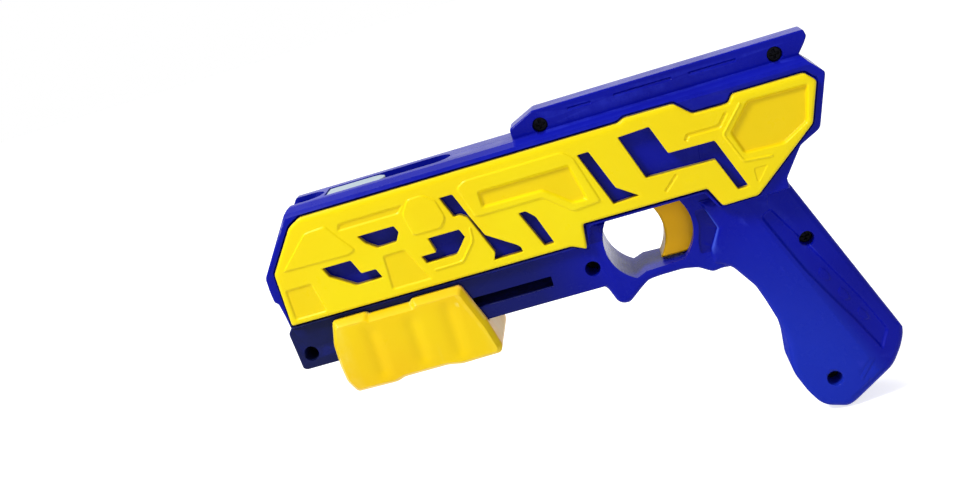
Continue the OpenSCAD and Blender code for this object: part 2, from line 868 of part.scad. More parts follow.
module sear_lever() {
    half = sear_t / 2;
    color("#7d8288")
        difference() {
            union() {
                round_y(sear_x, sear_z, -half, half, sear_hub_d / 2);
                block([nose_x - catch_t, -half, sear_arm_z],
                      [sear_x, half, sear_arm_z + sear_arm_h]);
                block([nose_x - catch_t, -half, sear_arm_z], [nose_x, half, nose_top]);
                slab([for (p = lever_shares) lever(p)], -half, half);
            }
            round_y(sear_x, sear_z, -2 * half, 2 * half, sear_pin_d / 2 + run_gap);
        }
}

module sear_pin() {
    long = lower_y - wall;
    color("silver") round_y(sear_x, sear_z, -long, long, sear_pin_d / 2);
}

module sear_spring() {
    color("#8f959b")
        translate([nose_x + 0.4 * sear_reach, 0, shelf_z + run_gap])
            coil(sear_spring_l - 2 * run_gap, (sear_spring_d - sear_wire) / 2,
                 sear_wire / 2, 5);
}

trigger_back = px(0.7515);

module trigger() {
    front = px(0.66);
    half = trigger_w / 2;
    low = pz(-0.86);
    high = pz(-0.37);
    flange = px(0.74) + stop_gap;
    ramp_x = tip_x - 1.4 * trigger_travel;
    ramp_z = tip_z - ramp_gap;
    ramp_end = 0.3 * tip_x + 0.7 * tip_end + (tip_end - tip_x) / 2;
    color("#f0a81c")
        union() {
            difference() {
                block([front, -half, low], [trigger_back, half, high]);
                round_y(px(0.605), pz(-0.5925), -side_y, side_y, finger_r * 1.045);
            }
            block([flange, -half - 0.7 * wall, low], [trigger_back, half + 0.7 * wall, high]);
            block([flange, -bar_y / 2, low], [trigger_back + wall, bar_y / 2, bar_top]);
            slab([
                [ramp_x, bar_z],
                [trigger_back + wall, bar_z],
                [trigger_back + wall, bar_top],
                [ramp_end + stop_gap, bar_top],
                [ramp_end, ramp_z - ramp_slope * (ramp_end - tip_x)],
                [ramp_x, ramp_z + ramp_slope * (tip_x - ramp_x)]
            ], -bar_y / 2, bar_y / 2);
        }
}

module trigger_spring() {
    start = trigger_back + wall + run_gap;
    color("#8f959b")
        translate([start, 0, pz(-0.55)])
            rotate([0, 90, 0])
                coil(px(0.81) - start - run_gap, (trigger_spring_d - trigger_wire) / 2,
                     trigger_wire / 2, 6);
}

left_shell();
right_shell();
left_cover();
right_cover();
muzzle_ring();
chuck();
spindle();
front_bearing();
rear_bearing();
thrust_washer();
retaining_clip();
carriage();
spindle_nut();
main_spring();
spring_washer();
bumper();
slide_block();
pump_left_half();
pump_right_half();
pump_screws();
sear_lever();
sear_pin();
sear_spring();
trigger();
trigger_spring();
housing_screws();
cover_screws();
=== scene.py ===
"""Looks of the spinning top launcher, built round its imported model.

Shapes are worked out in millimetres in the side view's own axes: u along the barrel, v up and
h out to the side. They are turned into metres in the row frame when a piece is made.
"""
import json
import math

import bmesh
import bpy
import numpy as np
from mathutils import Matrix, Vector, geometry

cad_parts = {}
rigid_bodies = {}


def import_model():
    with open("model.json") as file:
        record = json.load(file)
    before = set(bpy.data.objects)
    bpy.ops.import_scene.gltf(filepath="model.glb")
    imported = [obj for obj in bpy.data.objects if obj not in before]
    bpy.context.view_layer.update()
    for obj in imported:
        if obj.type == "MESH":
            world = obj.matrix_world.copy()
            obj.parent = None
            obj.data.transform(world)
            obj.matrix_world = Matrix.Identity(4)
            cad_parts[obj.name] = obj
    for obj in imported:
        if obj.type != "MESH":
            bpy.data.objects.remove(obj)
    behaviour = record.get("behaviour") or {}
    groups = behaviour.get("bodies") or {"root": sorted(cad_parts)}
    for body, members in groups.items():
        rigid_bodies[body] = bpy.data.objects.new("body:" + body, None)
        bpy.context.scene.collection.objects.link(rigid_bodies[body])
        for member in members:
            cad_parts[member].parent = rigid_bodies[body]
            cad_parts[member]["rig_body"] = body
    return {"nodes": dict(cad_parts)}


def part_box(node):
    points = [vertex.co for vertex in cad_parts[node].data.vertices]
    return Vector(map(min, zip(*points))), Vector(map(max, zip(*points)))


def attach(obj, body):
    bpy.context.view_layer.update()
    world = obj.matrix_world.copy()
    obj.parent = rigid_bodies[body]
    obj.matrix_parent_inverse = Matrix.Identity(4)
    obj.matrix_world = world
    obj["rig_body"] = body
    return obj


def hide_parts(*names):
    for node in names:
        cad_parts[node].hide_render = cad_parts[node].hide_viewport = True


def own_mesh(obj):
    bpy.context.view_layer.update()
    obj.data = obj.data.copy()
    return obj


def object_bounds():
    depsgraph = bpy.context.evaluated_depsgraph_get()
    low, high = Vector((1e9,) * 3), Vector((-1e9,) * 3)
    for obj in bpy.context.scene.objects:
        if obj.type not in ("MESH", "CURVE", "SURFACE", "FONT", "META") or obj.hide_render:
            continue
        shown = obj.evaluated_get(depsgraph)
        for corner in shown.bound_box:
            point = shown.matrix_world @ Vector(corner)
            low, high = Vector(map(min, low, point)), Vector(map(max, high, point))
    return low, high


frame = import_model()
cad_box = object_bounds()

MM = 0.001

# Driving sizes in millimetres, the same as the solids' own. The origin is at the mouth of the
# stem socket, MOUTH_D behind the muzzle.
BODY_L = 200.0
BARREL_H = 40.0
BODY_W = 30.0
MOUTH_D = 5.0
LOWER_W = 28.0
GUARD_W = 20.0
RAIL_W = 11.4
GRIP_W = 24.0
GRIP_L = 84.0
COVER_T = 2.0
SEAT_GAP = 0.75
SEAT_DEPTH = 1.3
PUMP_L = 57.5
PUMP_H = 27.7
PUMP_W = 36.6
PUMP_X = 15.0
PUMP_TOP_SHARE = -0.5325
GRIP_FOOT_SHARE = -0.5

# Outlines in shares of the housing's length and of the barrel's height, as (along, up)
BARREL_SHARES = [
    (0.011, -0.515), (0.5575, -0.515), (0.5675, -0.355), (0.7675, -0.355),
    (0.785, -0.515), (0.907, -0.515), (0.906, -0.425), (0.926, -0.2875),
    (0.9415, -0.1825), (0.975, -0.1), (0.98, -0.075), (1.0095, 0.355), (0.98, 0.515),
    (0.071, 0.515), (0.0665, 0.485), (-0.0025, -0.01), (-0.003, -0.135),
    (-0.0015, -0.2375), (0.0045, -0.2625), (0.0085, -0.3875),
]
LOWER_SHARES = [
    (0.0125, -0.915), (0.58, -0.915), (0.58, -0.355), (0.55, -0.355), (0.55, -0.5),
    (0.011, -0.5), (0.002, -0.555), (0.0045, -0.75), (0.006, -0.895),
]
RAIL_SHARES = [
    (0.48, 0.5), (0.98, 0.5), (0.98, 0.515), (0.993, 0.595), (1, 0.65), (0.997, 0.71),
    (0.526, 0.7075), (0.48, 0.605),
]
GUARD_SHARES = [
    (0.555, -0.35), (0.555, -0.9), (0.565, -0.9375), (0.575, -1.075), (0.5825, -1.1075),
    (0.595, -1.12), (0.605, -1.0875), (0.62, -1.03), (0.6375, -0.975), (0.66, -0.97),
    (0.7, -0.975), (0.725, -1.005), (0.7375, -1.05), (0.7475, -1.08), (0.765, -1.0675),
    (0.78, -1.08), (0.86, -0.75), (0.88, -0.35),
]
# The grip's heights are shares of its own length, counted from the barrel's foot.
GRIP_SHARES = [
    (0.755, 0.03), (0.7725, -0.095), (0.7525, -0.173), (0.75, -0.24), (0.78, -0.274),
    (0.81, -0.381), (0.82, -0.452), (0.83, -0.536), (0.8365, -0.607), (0.8375, -0.667),
    (0.8335, -0.774), (0.8365, -0.81), (0.85, -0.893), (0.865, -0.952),
    (0.8775, -0.974), (0.91, -0.996), (0.9225, -0.986), (1.005, -0.869),
    (1.025, -0.81), (1.035, -0.762), (1.0375, -0.714), (1.03, -0.699), (0.91, -0.007),
    (0.9075, 0.03),
]
COVER_SHARES = [
    (0.017, -0.4725), (0.5275, -0.47), (0.552, -0.53), (0.557, -0.3075), (0.774, -0.31),
    (0.7915, -0.49),
    (0.853, -0.485), (0.955, -0.075), (0.968, -0.0225), (0.991, 0.315), (0.975, 0.4),
    (0.854, 0.4), (0.844, 0.335), (0.7835, 0.3375), (0.757, 0.46), (0.6725, 0.465),
    (0.66, 0.4375), (0.0925, 0.435), (0.07, 0.375), (0.018, 0.0125),
]
WINDOW_SHARES = [
    [(0.1795, 0.135), (0.246, 0.135), (0.251, 0.0725), (0.242, -0.005),
     (0.2075, -0.01), (0.19, 0.055)],
    [(0.102, -0.05), (0.155, -0.05), (0.166, -0.185), (0.1925, -0.185),
     (0.1995, -0.275), (0.1515, -0.2775), (0.11, -0.14)],
    [(0.2955, -0.0525), (0.352, -0.0525), (0.358, -0.13), (0.335, -0.26),
     (0.281, -0.2625), (0.275, -0.19), (0.3025, -0.19)],
    [(0.3355, 0.2575), (0.359, 0.2575), (0.3755, 0.0375), (0.392, -0.1625),
     (0.44, -0.325), (0.4445, -0.35), (0.446, -0.3975), (0.394, -0.3975),
     (0.3995, -0.335), (0.3725, 0.025), (0.361, 0.065), (0.35, 0.065)],
    [(0.4575, -0.0625), (0.47, -0.06), (0.484, -0.13), (0.502, -0.3975),
     (0.4845, -0.3975)],
    [(0.5805, 0.2775), (0.6005, 0.28), (0.6275, -0.08), (0.662, -0.2025),
     (0.617, -0.215)],
    [(0.654, 0.325), (0.7085, 0.3375), (0.7275, 0.0775), (0.8065, 0.07),
     (0.8415, -0.3875), (0.823, -0.3875), (0.8, -0.09), (0.681, -0.075)],
]
PUMP_SHARES = [
    (0.043, 0), (0.003, -0.31), (0, -0.6), (0.009, -0.82), (0.052, -0.99), (0.313, -1),
    (0.365, -0.964), (0.643, -0.964), (0.73, -1), (0.98, -0.99), (1, -0.9),
    (0.957, -0.53), (0.861, 0), (0.555, 0), (0.535, -0.038), (0.275, -0.038), (0.255, 0),
]
# How wide a side cover's rounded rim is along each edge of its outline
COVER_RIMS = np.array([1.0, 1.0, 1.0, 1.0, 1.0, 1.0, 1.0, 1.0, 1.0, 1.0, 2.0, 1.0, 1.0, 1.0,
                       2.0, 2.0, 2.2, 1.6, 1.6, 1.0])
# Fields of a side cover: outline, rise over what is round it in millimetres, fields inside it
COVER_FIELDS = [
    ([(0.1535, 0.3), (0.1475, 0.22), (0.2615, 0.22), (0.2765, 0.3)], -0.6, []),
    ([(0.3675, 0.3), (0.385, 0.3525), (0.5575, 0.3525), (0.575, 0.275), (0.6, -0.1625),
      (0.5475, -0.1825), (0.5035, 0.005), (0.385, 0.005)], 0.55, [
          ([(0.4, 0.2325), (0.4, 0.065), (0.5075, 0.06), (0.5515, -0.115), (0.58, -0.12),
            (0.564, 0.2325)], -1.2, []),
      ]),
    ([(0.21, -0.08), (0.2525, -0.08), (0.266, -0.225), (0.273, -0.315), (0.285, -0.41),
      (0.2075, -0.41)], -0.6, []),
    ([(0.8735, 0.33), (0.978, 0.32), (0.9625, 0), (0.9155, -0.128), (0.847, -0.116),
      (0.832, 0.1)], -1.3, []),
    ([(0.2825, 0.335), (0.31, 0.335), (0.33, 0.26), (0.338, 0.085), (0.325, 0.0),
      (0.2725, 0.0), (0.265, 0.2125)], 0.5, []),
    ([(0.032, 0.01), (0.0925, 0.3), (0.1325, 0.3125), (0.147, 0.2), (0.172, 0.03),
      (0.158, 0.0)], 0.5, []),
    ([(0.026, -0.14), (0.0775, -0.14), (0.0885, -0.435), (0.026, -0.435)], -0.6, []),
    ([(0.8555, -0.24), (0.882, -0.245), (0.8605, -0.375), (0.8555, -0.365)], -0.3, []),
]
# Ridges and grooves of a side cover: line, width and rise in millimetres
COVER_RIDGES = [
    ([(0.29, -0.335), (0.342, -0.33), (0.369, -0.175), (0.371, -0.055)], 1.3, 0.4),
    ([(0.705, -0.2375), (0.7325, -0.11)], 1.6, -0.4),
    ([(0.863, 0.322), (0.8225, 0.1), (0.8435, -0.165), (0.893, -0.185)], 1.3, 0.4),
    ([(0.7596, 0.1284), (0.7657, 0.1776), (0.8194, 0.1731), (0.8375, 0.2795)], 1.9, -0.45),
]
# Fields of the rail's sides, in the same shares
RAIL_FIELDS = [
    ([(0.584, 0.615), (0.584, 0.65), (0.628, 0.65), (0.628, 0.615)], -0.42, []),
    ([(0.665, 0.615), (0.665, 0.65), (0.769, 0.65), (0.769, 0.615)], -0.42, []),
    ([(0.796, 0.61), (0.796, 0.645), (0.88, 0.645), (0.88, 0.61)], -0.42, []),
]
# The sunk panel on the guard's sides between the finger hole and the grip
GUARD_FIELDS = [
    ([(0.7415, -0.5), (0.7635, -0.5), (0.7785, -0.7), (0.761, -0.8625), (0.7595, -0.9),
      (0.7325, -0.9), (0.735, -0.78), (0.7435, -0.635)], -0.65, []),
]
# Fields of the grip's rear strip, as (down along its back, in from its back) in millimetres
GRIP_FIELDS = [
    ([(2, 9.7), (2, 14.8), (26.5, 14.4), (38.3, 13.3), (52, 11.6), (67.9, 10.4), (63.2, 3.9),
      (48.4, 4.4), (28.8, 6.4), (11.4, 8.5)], -1.35, [
        ([(29.5, 9.0), (31, 11.4), (35, 11.2), (36.5, 8.8), (33, 8.0)], 0.45, []),
        ([(39.5, 8.0), (41, 10.4), (45, 10.2), (46.5, 7.8), (43, 7.0)], 0.45, []),
        ([(49.5, 7.2), (51, 9.4), (55, 9.2), (56.5, 6.8), (53, 6.2)], 0.45, []),
    ]),
    ([(65.2, 13.4), (70.2, 22.8), (71.6, 22.0), (66.8, 12.6)], 0.45, []),
]
# The grip's back: its top, its slant from upright, how far in the bevel reaches, and its width
GRIP_BACK_TOP = GRIP_SHARES[-2]
GRIP_SLANT = math.radians(22.4)
GRIP_BEVEL = 15.5
GRIP_BACK_W = 13.0
# The grip's front facet: how far from its back it starts, and its fall per millimetre
GRIP_FRONT = (19.3, 0.075)
# The guard narrows from the lower housing's width between these places along the barrel
GUARD_TAPER = (0.58, 0.74)
# How wide the grip's rounded rim is along each edge of its outline, and its corners' radius
GRIP_RIMS = np.array([0.8] * 3 + [1.0] * 21)
GRIP_CORNERS = np.array([0.4] * 4 + [2.0] * 20)
# The pump's facets: the width along each edge of its outline, and the profile, as (share of that
# width, depth below the side face)
PUMP_FACETS = [1.5, 1.5, 1.5, 1.6, 1.6, 1.6, 1.6, 1.6, 1.6, 1.7, 1.8, 2.0, 2.4, 2.4, 2.4, 2.4,
               2.4]
PUMP_FACET_PROFILE = [(0, 2.7), (0.05, 2.3), (0.5, 1.1), (0.9, 0.16), (1, 0)]
PUMP_CORNER = 1.3
# The pump's grooves: places along the barrel, depth, width, how far from the facets they fade
# out, and the distance between the points that carry them
PUMP_GROOVES = (24.5, 39.5, 53.0)
PUMP_GROOVE_DEPTH = 0.75
PUMP_GROOVE_W = 2.4
PUMP_GROOVE_FADE = 5.0
PUMP_STEP = 0.9
# The forms that a CAD half is cut down to stand a hair outside it and run over the mid plane.
HAIR = 0.02
PUMP_HAIR = 0.01
OVERRUN = 0.04
# How far the housing halves' edges are cut back along their seam
SEAM = 0.16
COVER_FOOT = BODY_W / 2 - SEAT_DEPTH
COVER_FACE = BODY_W / 2 + COVER_T
COVER_CORNER = 0.9
COVER_RIM = 1.0
SEAT_RIM = 0.2
OPENING_CORNER = 0.5
OPENING_RIM = 0.4
# A field's side: its width for each millimetre of rise, its greatest width, rings and corners
FIELD_SLOPE = 1.5
FIELD_SLOPE_MOST = 1.2
FIELD_RINGS = 6
FIELD_CORNER = 1.0
# Springs: points on each turn, sides of the wire, and how far the end coils are drawn together
TURN_STEPS = 20
WIRE_SIDES = 8
END_COILS = 0.6

# A corner counts as straight where the sine of its turn is under STRAIGHT, and a rounding takes
# no more than CORNER_SHARE of an edge.
STRAIGHT = 0.02
CORNER_SHARE = 0.45
# Steps of a rounded corner or rim, and of the small ones in a face
STEPS = 4
SMALL_STEPS = 3
# How far spread points keep from an outline and from a field, in shares of their step
OUTLINE_CLEAR = 0.6
FIELD_CLEAR = 0.4
# Points nearer than this many millimetres are one
NEAREST = 1e-5
# Edges that turn by more degrees than this stay sharp, and more on a spring's wire
SHARP = 32.0
WIRE_SHARP = 60.0
# Faces of a CAD copy that turn by fewer degrees than this are joined
FLAT = 0.5
# Points of a CAD copy nearer than this many millimetres are joined
MERGE = 0.001
ROUNDING_STEPS = 2

# The photograph's camera: turn, rise and roll in degrees, place in millimetres, and lens
CAMERA_ANGLES = (7.8, 13.0, 17.8)
CAMERA_PLACE = (133.6, -472.3, 98.5)
SENSOR_W = 36.0
FOCAL_PIXELS = 1379.6
PHOTO_W = 960
# Light from the surroundings, and the floor's glow, which makes it white together with the light
# on it, its reach, its ripples per metre and its gap under the grip's end
WORLD_LIGHT = 0.33
FLOOR_GLOW = 0.72
FLOOR_REACH = 3000.0
FLOOR_RIPPLES = 30.0
FLOOR_GAP = 0.5
LAMP_TARGET = (0.1, 0, 0)


def along(share):
    """Millimetres along the barrel for a share of the housing's length."""
    return share * BODY_L - MOUTH_D


def side(shares):
    """Points of the side view for a list of shares."""
    points = np.array(shares, float)
    return np.stack([along(points[:, 0]), points[:, 1] * BARREL_H], 1)


def stroke(line, width):
    """The outline of a band of one width along a line, both given in shares."""
    line = side(line)
    ahead = np.diff(line, axis=0)
    normals = np.stack([-ahead[:, 1], ahead[:, 0]], 1) / np.linalg.norm(ahead, axis=1)[:, None]
    first, second = normals[np.r_[0, :len(ahead)]], normals[np.r_[:len(ahead), -1]]
    mitre = (first + second) / (1 + np.sum(first * second, 1))[:, None] * width / 2
    points = np.concatenate([line - mitre, (line + mitre)[::-1]])
    return np.stack([(points[:, 0] + MOUTH_D) / BODY_L, points[:, 1] / BARREL_H], 1)


def grip_side(shares):
    """Points of the side view for the grip's own shares."""
    points = np.array(shares, float)
    foot = GRIP_FOOT_SHARE * BARREL_H
    return np.stack([along(points[:, 0]), foot + points[:, 1] * GRIP_L], 1)


def grip_frame():
    """The top of the grip's back edge, and the directions down along it and in from it."""
    down = np.array([math.sin(GRIP_SLANT), -math.cos(GRIP_SLANT)])
    return grip_side([GRIP_BACK_TOP])[0], down, np.array([down[1], -down[0]])


def grip_strip(points):
    """Points of the side view for places along and in from the grip's back edge."""
    root, down, ahead = grip_frame()
    points = np.array(points, float)
    return root + points[:, :1] * down + points[:, 1:] * ahead


def guard_factor(points):
    """The guard's half width falls evenly between the two places of its taper."""
    start, end = (along(share) for share in GUARD_TAPER)
    return 1 - (1 - GUARD_W / LOWER_W) * np.clip((points[:, 0] - start) / (end - start), 0, 1)


def grip_factor(points):
    """The grip is bevelled towards its back, and falls a little towards its front."""
    root, down, ahead = grip_frame()
    inward = (points[:, :2] - root) @ ahead
    back = (1 - GRIP_BACK_W / GRIP_W) * np.clip(1 - inward / GRIP_BEVEL, 0, 1)
    front = 2 * GRIP_FRONT[1] / GRIP_W * np.clip(inward - GRIP_FRONT[0], 0, None)
    return 1 - back - front


def smooth(share):
    """Starts and ends gently: t^2 (3 - 2t)."""
    return share ** 2 * (3 - 2 * share)


def area(loop):
    """Signed area of a flat loop, positive when it runs counter-clockwise."""
    ahead = np.roll(loop, -1, 0)
    return 0.5 * np.sum(loop[:, 0] * ahead[:, 1] - loop[:, 1] * ahead[:, 0])


def turned(loop, sign):
    """The loop, running counter-clockwise for sign 1 and clockwise for sign -1."""
    return loop if area(loop) * sign > 0 else loop[::-1]


def inset(loop, widths):
    """Moves every edge of a loop to its left by its own width.

    A corner lands where its two moved edges cross: the point p with n1 (p - b) = d1 and
    n2 (p - b) = d2 for the left normals n1 and n2 of the edges before and after it.
    """
    d2 = np.broadcast_to(np.asarray(widths, float), (len(loop),))
    d1 = np.roll(d2, 1)
    before = loop - np.roll(loop, 1, 0)
    after = np.roll(before, -1, 0)
    n1 = np.stack([-before[:, 1], before[:, 0]], 1) / np.linalg.norm(before, axis=1)[:, None]
    n2 = np.stack([-after[:, 1], after[:, 0]], 1) / np.linalg.norm(after, axis=1)[:, None]
    det = n1[:, 0] * n2[:, 1] - n1[:, 1] * n2[:, 0]
    flat = np.abs(det) < STRAIGHT
    safe = np.where(flat, 1.0, det)
    crossing = np.stack([n2[:, 1] * d1 - n1[:, 1] * d2, n1[:, 0] * d2 - n2[:, 0] * d1], 1)
    straight = (n1 + n2) * ((d1 + d2) / 4)[:, None]
    return loop + np.where(flat[:, None], straight, crossing / safe[:, None])


def round_corners(loop, radius, steps=STEPS):
    """Rounds each corner b of a loop with the curve (1-t)^2 a + 2t(1-t) b + t^2 c.

    a and c lie on the two edges, one radius from b, or less where an edge is short.
    """
    before = np.roll(loop, 1, 0) - loop
    after = np.roll(loop, -1, 0) - loop
    len1 = np.linalg.norm(before, axis=1)
    len2 = np.linalg.norm(after, axis=1)
    cut = np.minimum(radius, CORNER_SHARE * np.minimum(len1, len2))
    a = loop + before * (cut / len1)[:, None]
    c = loop + after * (cut / len2)[:, None]
    t = np.linspace(0, 1, steps + 1)[None, :, None]
    curve = (1 - t) ** 2 * a[:, None] + 2 * t * (1 - t) * loop[:, None] + t ** 2 * c[:, None]
    return curve.reshape(-1, 2)


def inside(points, loop):
    """Which points lie inside a loop, by counting the edges to the right of each."""
    a, b = loop, np.roll(loop, -1, 0)
    x, y = points[:, None, 0], points[:, None, 1]
    spans = (a[:, 1] > y) != (b[:, 1] > y)
    rise = np.where(b[:, 1] == a[:, 1], 1.0, b[:, 1] - a[:, 1])
    crossing = a[:, 0] + (y - a[:, 1]) * (b[:, 0] - a[:, 0]) / rise
    return np.sum(spans & (x < crossing), 1) % 2 == 1


def edge_distance(points, loop):
    """Distance of each point from the nearest edge of a loop."""
    a, b = loop[None], np.roll(loop, -1, 0)[None]
    p = points[:, None]
    t = np.sum((p - a) * (b - a), 2) / np.maximum(np.sum((b - a) ** 2, 2), NEAREST ** 2)
    t = np.clip(t, 0, 1)[..., None]
    return np.linalg.norm(p - a - t * (b - a), axis=2).min(1)


def fill(loops, extra=None):
    """Triangles over the first loop with the others left open, as rows of point numbers.

    The numbers count through the loops in turn and then through the extra points.
    """
    sets = list(loops) + ([] if extra is None else [extra])
    points = np.concatenate(sets)
    starts = np.cumsum([0] + [len(loop) for loop in loops])
    edges = [
        np.stack([s + np.arange(len(loop)), s + (np.arange(len(loop)) + 1) % len(loop)], 1)
        for s, loop in zip(starts, loops)
    ]
    result = geometry.delaunay_2d_cdt(
        points.tolist(), np.concatenate(edges).tolist(), [], 0, NEAREST)
    number = np.array([ids[0] if ids else -1 for ids in result[3]])
    if number.min() < 0:
        raise ValueError(f"loops cross at {result[0][int(number.argmin())]}")
    faces = number[np.array(result[2])]
    corners = points[faces]
    u, v = corners[:, 1] - corners[:, 0], corners[:, 2] - corners[:, 0]
    back = u[:, 0] * v[:, 1] - u[:, 1] * v[:, 0] < 0
    faces[back] = faces[back][:, ::-1]
    centre = corners.mean(1)
    keep = inside(centre, loops[0])
    for hole in loops[1:]:
        keep &= ~inside(centre, hole)
    return faces[keep]


class Shape:
    """Points and faces of a piece, in (u, v, h) millimetres."""

    def __init__(self):
        self.points = []
        self.faces = []
        self.size = 0

    def add(self, points):
        """Stores points and returns the numbers that they got."""
        points = np.asarray(points, float).reshape(-1, 3)
        numbers = self.size + np.arange(len(points))
        self.points.append(points)
        self.size += len(points)
        return numbers

    def ring(self, loop, height):
        """Stores a flat loop at one height, or at a height for each of its points."""
        heights = np.broadcast_to(np.asarray(height, float), (len(loop),))
        return self.add(np.column_stack([loop, heights]))

    def band(self, first, second):
        """Quads from one closed ring of point numbers to the next."""
        quads = np.stack([first, np.roll(first, -1), np.roll(second, -1), second], 1)
        self.faces.append(quads)

    def grid(self, points, closed=False):
        """Quads over a grid of points, closed round its second direction if asked."""
        rows, columns = points.shape[:2]
        numbers = self.add(points).reshape(rows, columns)
        ahead = np.roll(numbers, -1, 1) if closed else numbers[:, 1:]
        here = numbers if closed else numbers[:, :-1]
        quads = np.stack([here[:-1], ahead[:-1], ahead[1:], here[1:]], 2)
        self.faces.append(quads.reshape(-1, 4))
        return numbers

    def cap(self, loops, rings, up=True, extra=None, height=None):
        """Fills the first loop and leaves the others open, on rings stored before."""
        faces = fill(loops, extra)
        numbers = np.concatenate(rings)
        if extra is not None:
            numbers = np.concatenate([numbers, self.add(np.column_stack([extra, height]))])
        faces = numbers[faces]
        self.faces.append(faces if up else faces[:, ::-1])

    def mesh(self, name, to_row, flip):
        """A mesh in metres in the row frame."""
        points = to_row(np.concatenate(self.points)) * MM
        rows = [f[:, ::-1] if flip else f for f in self.faces]
        faces = [row for block in rows for row in block.tolist()]
        mesh = bpy.data.meshes.new(name)
        mesh.from_pydata(points.tolist(), [], faces)
        mesh.validate()
        mesh.update()
        return mesh


def left_side(p):
    """Side view axes on the left of the mid plane."""
    return np.stack([p[:, 0], -p[:, 2], p[:, 1]], 1)


def right_side(p):
    """Side view axes on the right of the mid plane."""
    return np.stack([p[:, 0], p[:, 2], p[:, 1]], 1)


def quarter(radius, top, steps=STEPS):
    """A rim's profile: a quarter round from (0, top - radius) to (radius, top)."""
    turn = np.linspace(0, math.pi / 2, steps + 1)
    return [(radius * (1 - math.cos(a)), top - radius + radius * math.sin(a)) for a in turn]


def rim_rings(shape, loop, widths, profile, corner, steps=STEPS):
    """Carries a profile of (inset share, height) round a loop.

    Returns the first and the last ring, each as its flat loop and its point numbers.
    """
    rings = []
    for share, height in profile:
        flat = round_corners(inset(loop, share * np.asarray(widths, float)), corner, steps)
        rings.append((flat, shape.ring(flat, height)))
    for (_, before), (_, after) in zip(rings, rings[1:]):
        shape.band(before, after)
    return rings[0], rings[-1]


def field(shape, outline, base, rise, children, place):
    """A raised or sunk field: its side climbs as t^2 (3 - 2t) over the slope's width.

    Returns the loop and the ring at its foot, which the surface round it has to leave open.
    """
    outline = place(outline)
    slope = min(FIELD_SLOPE_MOST, FIELD_SLOPE * abs(rise))
    share = np.linspace(0, 1, FIELD_RINGS)
    profile = list(zip(share, base + smooth(share) * rise))
    first, last = rim_rings(shape, turned(outline, 1), slope, profile, FIELD_CORNER, SMALL_STEPS)
    inner = [field(shape, points, base + rise, step, more, place)
             for points, step, more in children]
    shape.cap([last[0]] + [loop for loop, ring in inner],
              [last[1]] + [ring for loop, ring in inner])
    return first


def spots(loop, step):
    """A grid of points inside a loop, and how far each of them is from it."""
    u, v = (np.arange(loop[:, k].min(), loop[:, k].max(), step) for k in (0, 1))
    grid = np.stack(np.meshgrid(u, v), 2).reshape(-1, 2)
    clear = edge_distance(grid, loop)
    keep = inside(grid, loop) & (clear > OUTLINE_CLEAR * step)
    return grid[keep], clear[keep]


def slab(shape, outline, low, high, rim, corner, seam=0.0, openings=(), fields=(), widths=1.0,
         step=None, place=side):
    """A closed slab of an outline from height low to high, with rounded upper edges.

    Openings go right through it. Fields are raised or sunk areas of its upper face. The rim is
    as wide as it is high, times the widths. A step spreads points over the upper face.
    """
    outline = turned(outline, 1)
    foot = [(seam, low), (0, low + seam)] if seam else [(0, low)]
    lower, upper = rim_rings(shape, outline, widths, foot + quarter(rim, high), corner)
    low_rings, high_rings = [lower], [upper]
    for opening in openings:
        hole = turned(opening, -1)
        profile = [(0, low)] + quarter(OPENING_RIM, high)
        first, last = rim_rings(shape, hole, 1.0, profile, OPENING_CORNER, SMALL_STEPS)
        low_rings.append(first)
        high_rings.append(last)
    for points, rise, children in fields:
        high_rings.append(field(shape, points, high, rise, children, place))
    shape.cap([loop for loop, ring in low_rings], [ring for loop, ring in low_rings], up=False)
    extra = spots(upper[0], step)[0] if step else None
    for loop, ring in high_rings[1:] if step else ():
        clear = edge_distance(extra, loop) > FIELD_CLEAR * step
        extra = extra[~inside(extra, loop) & clear]
    shape.cap([loop for loop, ring in high_rings], [ring for loop, ring in high_rings],
              extra=extra, height=None if extra is None else np.full(len(extra), high))


def object_from(data, name):
    """A new object in the scene, from a mesh, a camera or a lamp."""
    piece = bpy.data.objects.new(name, data)
    bpy.context.scene.collection.objects.link(piece)
    return piece


def evaluated(piece, name):
    """The mesh that a piece's modifiers give, as a new mesh, with the piece removed."""
    bpy.context.view_layer.update()
    graph = bpy.context.evaluated_depsgraph_get()
    mesh = bpy.data.meshes.new_from_object(piece.evaluated_get(graph))
    mesh.name = name
    bpy.data.objects.remove(piece)
    return mesh


def dress(piece, node, material, sharp=SHARP):
    """Shades a piece, gives it its material and lets it stand for a CAD node."""
    mesh = piece.data
    mesh.shade_smooth()
    mesh.set_sharp_from_angle(angle=math.radians(sharp))
    weighted = piece.modifiers.new("weighted", "WEIGHTED_NORMAL")
    weighted.keep_sharp = True
    mesh.materials.clear()
    mesh.materials.append(material)
    source = frame["nodes"][node]
    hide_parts(node)
    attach(piece, source["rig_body"])


def merged_copy(node, name):
    """A copy of a CAD node with its loose triangles joined and its flats made one face."""
    bm = bmesh.new()
    bm.from_mesh(frame["nodes"][node].data)
    bmesh.ops.remove_doubles(bm, verts=bm.verts, dist=MERGE * MM)
    bmesh.ops.dissolve_limit(
        bm, angle_limit=math.radians(FLAT), verts=bm.verts, edges=bm.edges)
    mesh = bpy.data.meshes.new(name)
    bm.to_mesh(mesh)
    bm.free()
    return object_from(mesh, name)


def rounded_copy(node, material, width):
    """A CAD node with rounded edges: a merged copy of it with a bevel of that width."""
    piece = merged_copy(node, node + "_looks")
    bevel = piece.modifiers.new("rounding", "BEVEL")
    bevel.width = width * MM
    bevel.segments = ROUNDING_STEPS
    bevel.limit_method = "ANGLE"
    bevel.angle_limit = math.radians(SHARP)
    bevel.use_clamp_overlap = False
    dress(piece, node, material)


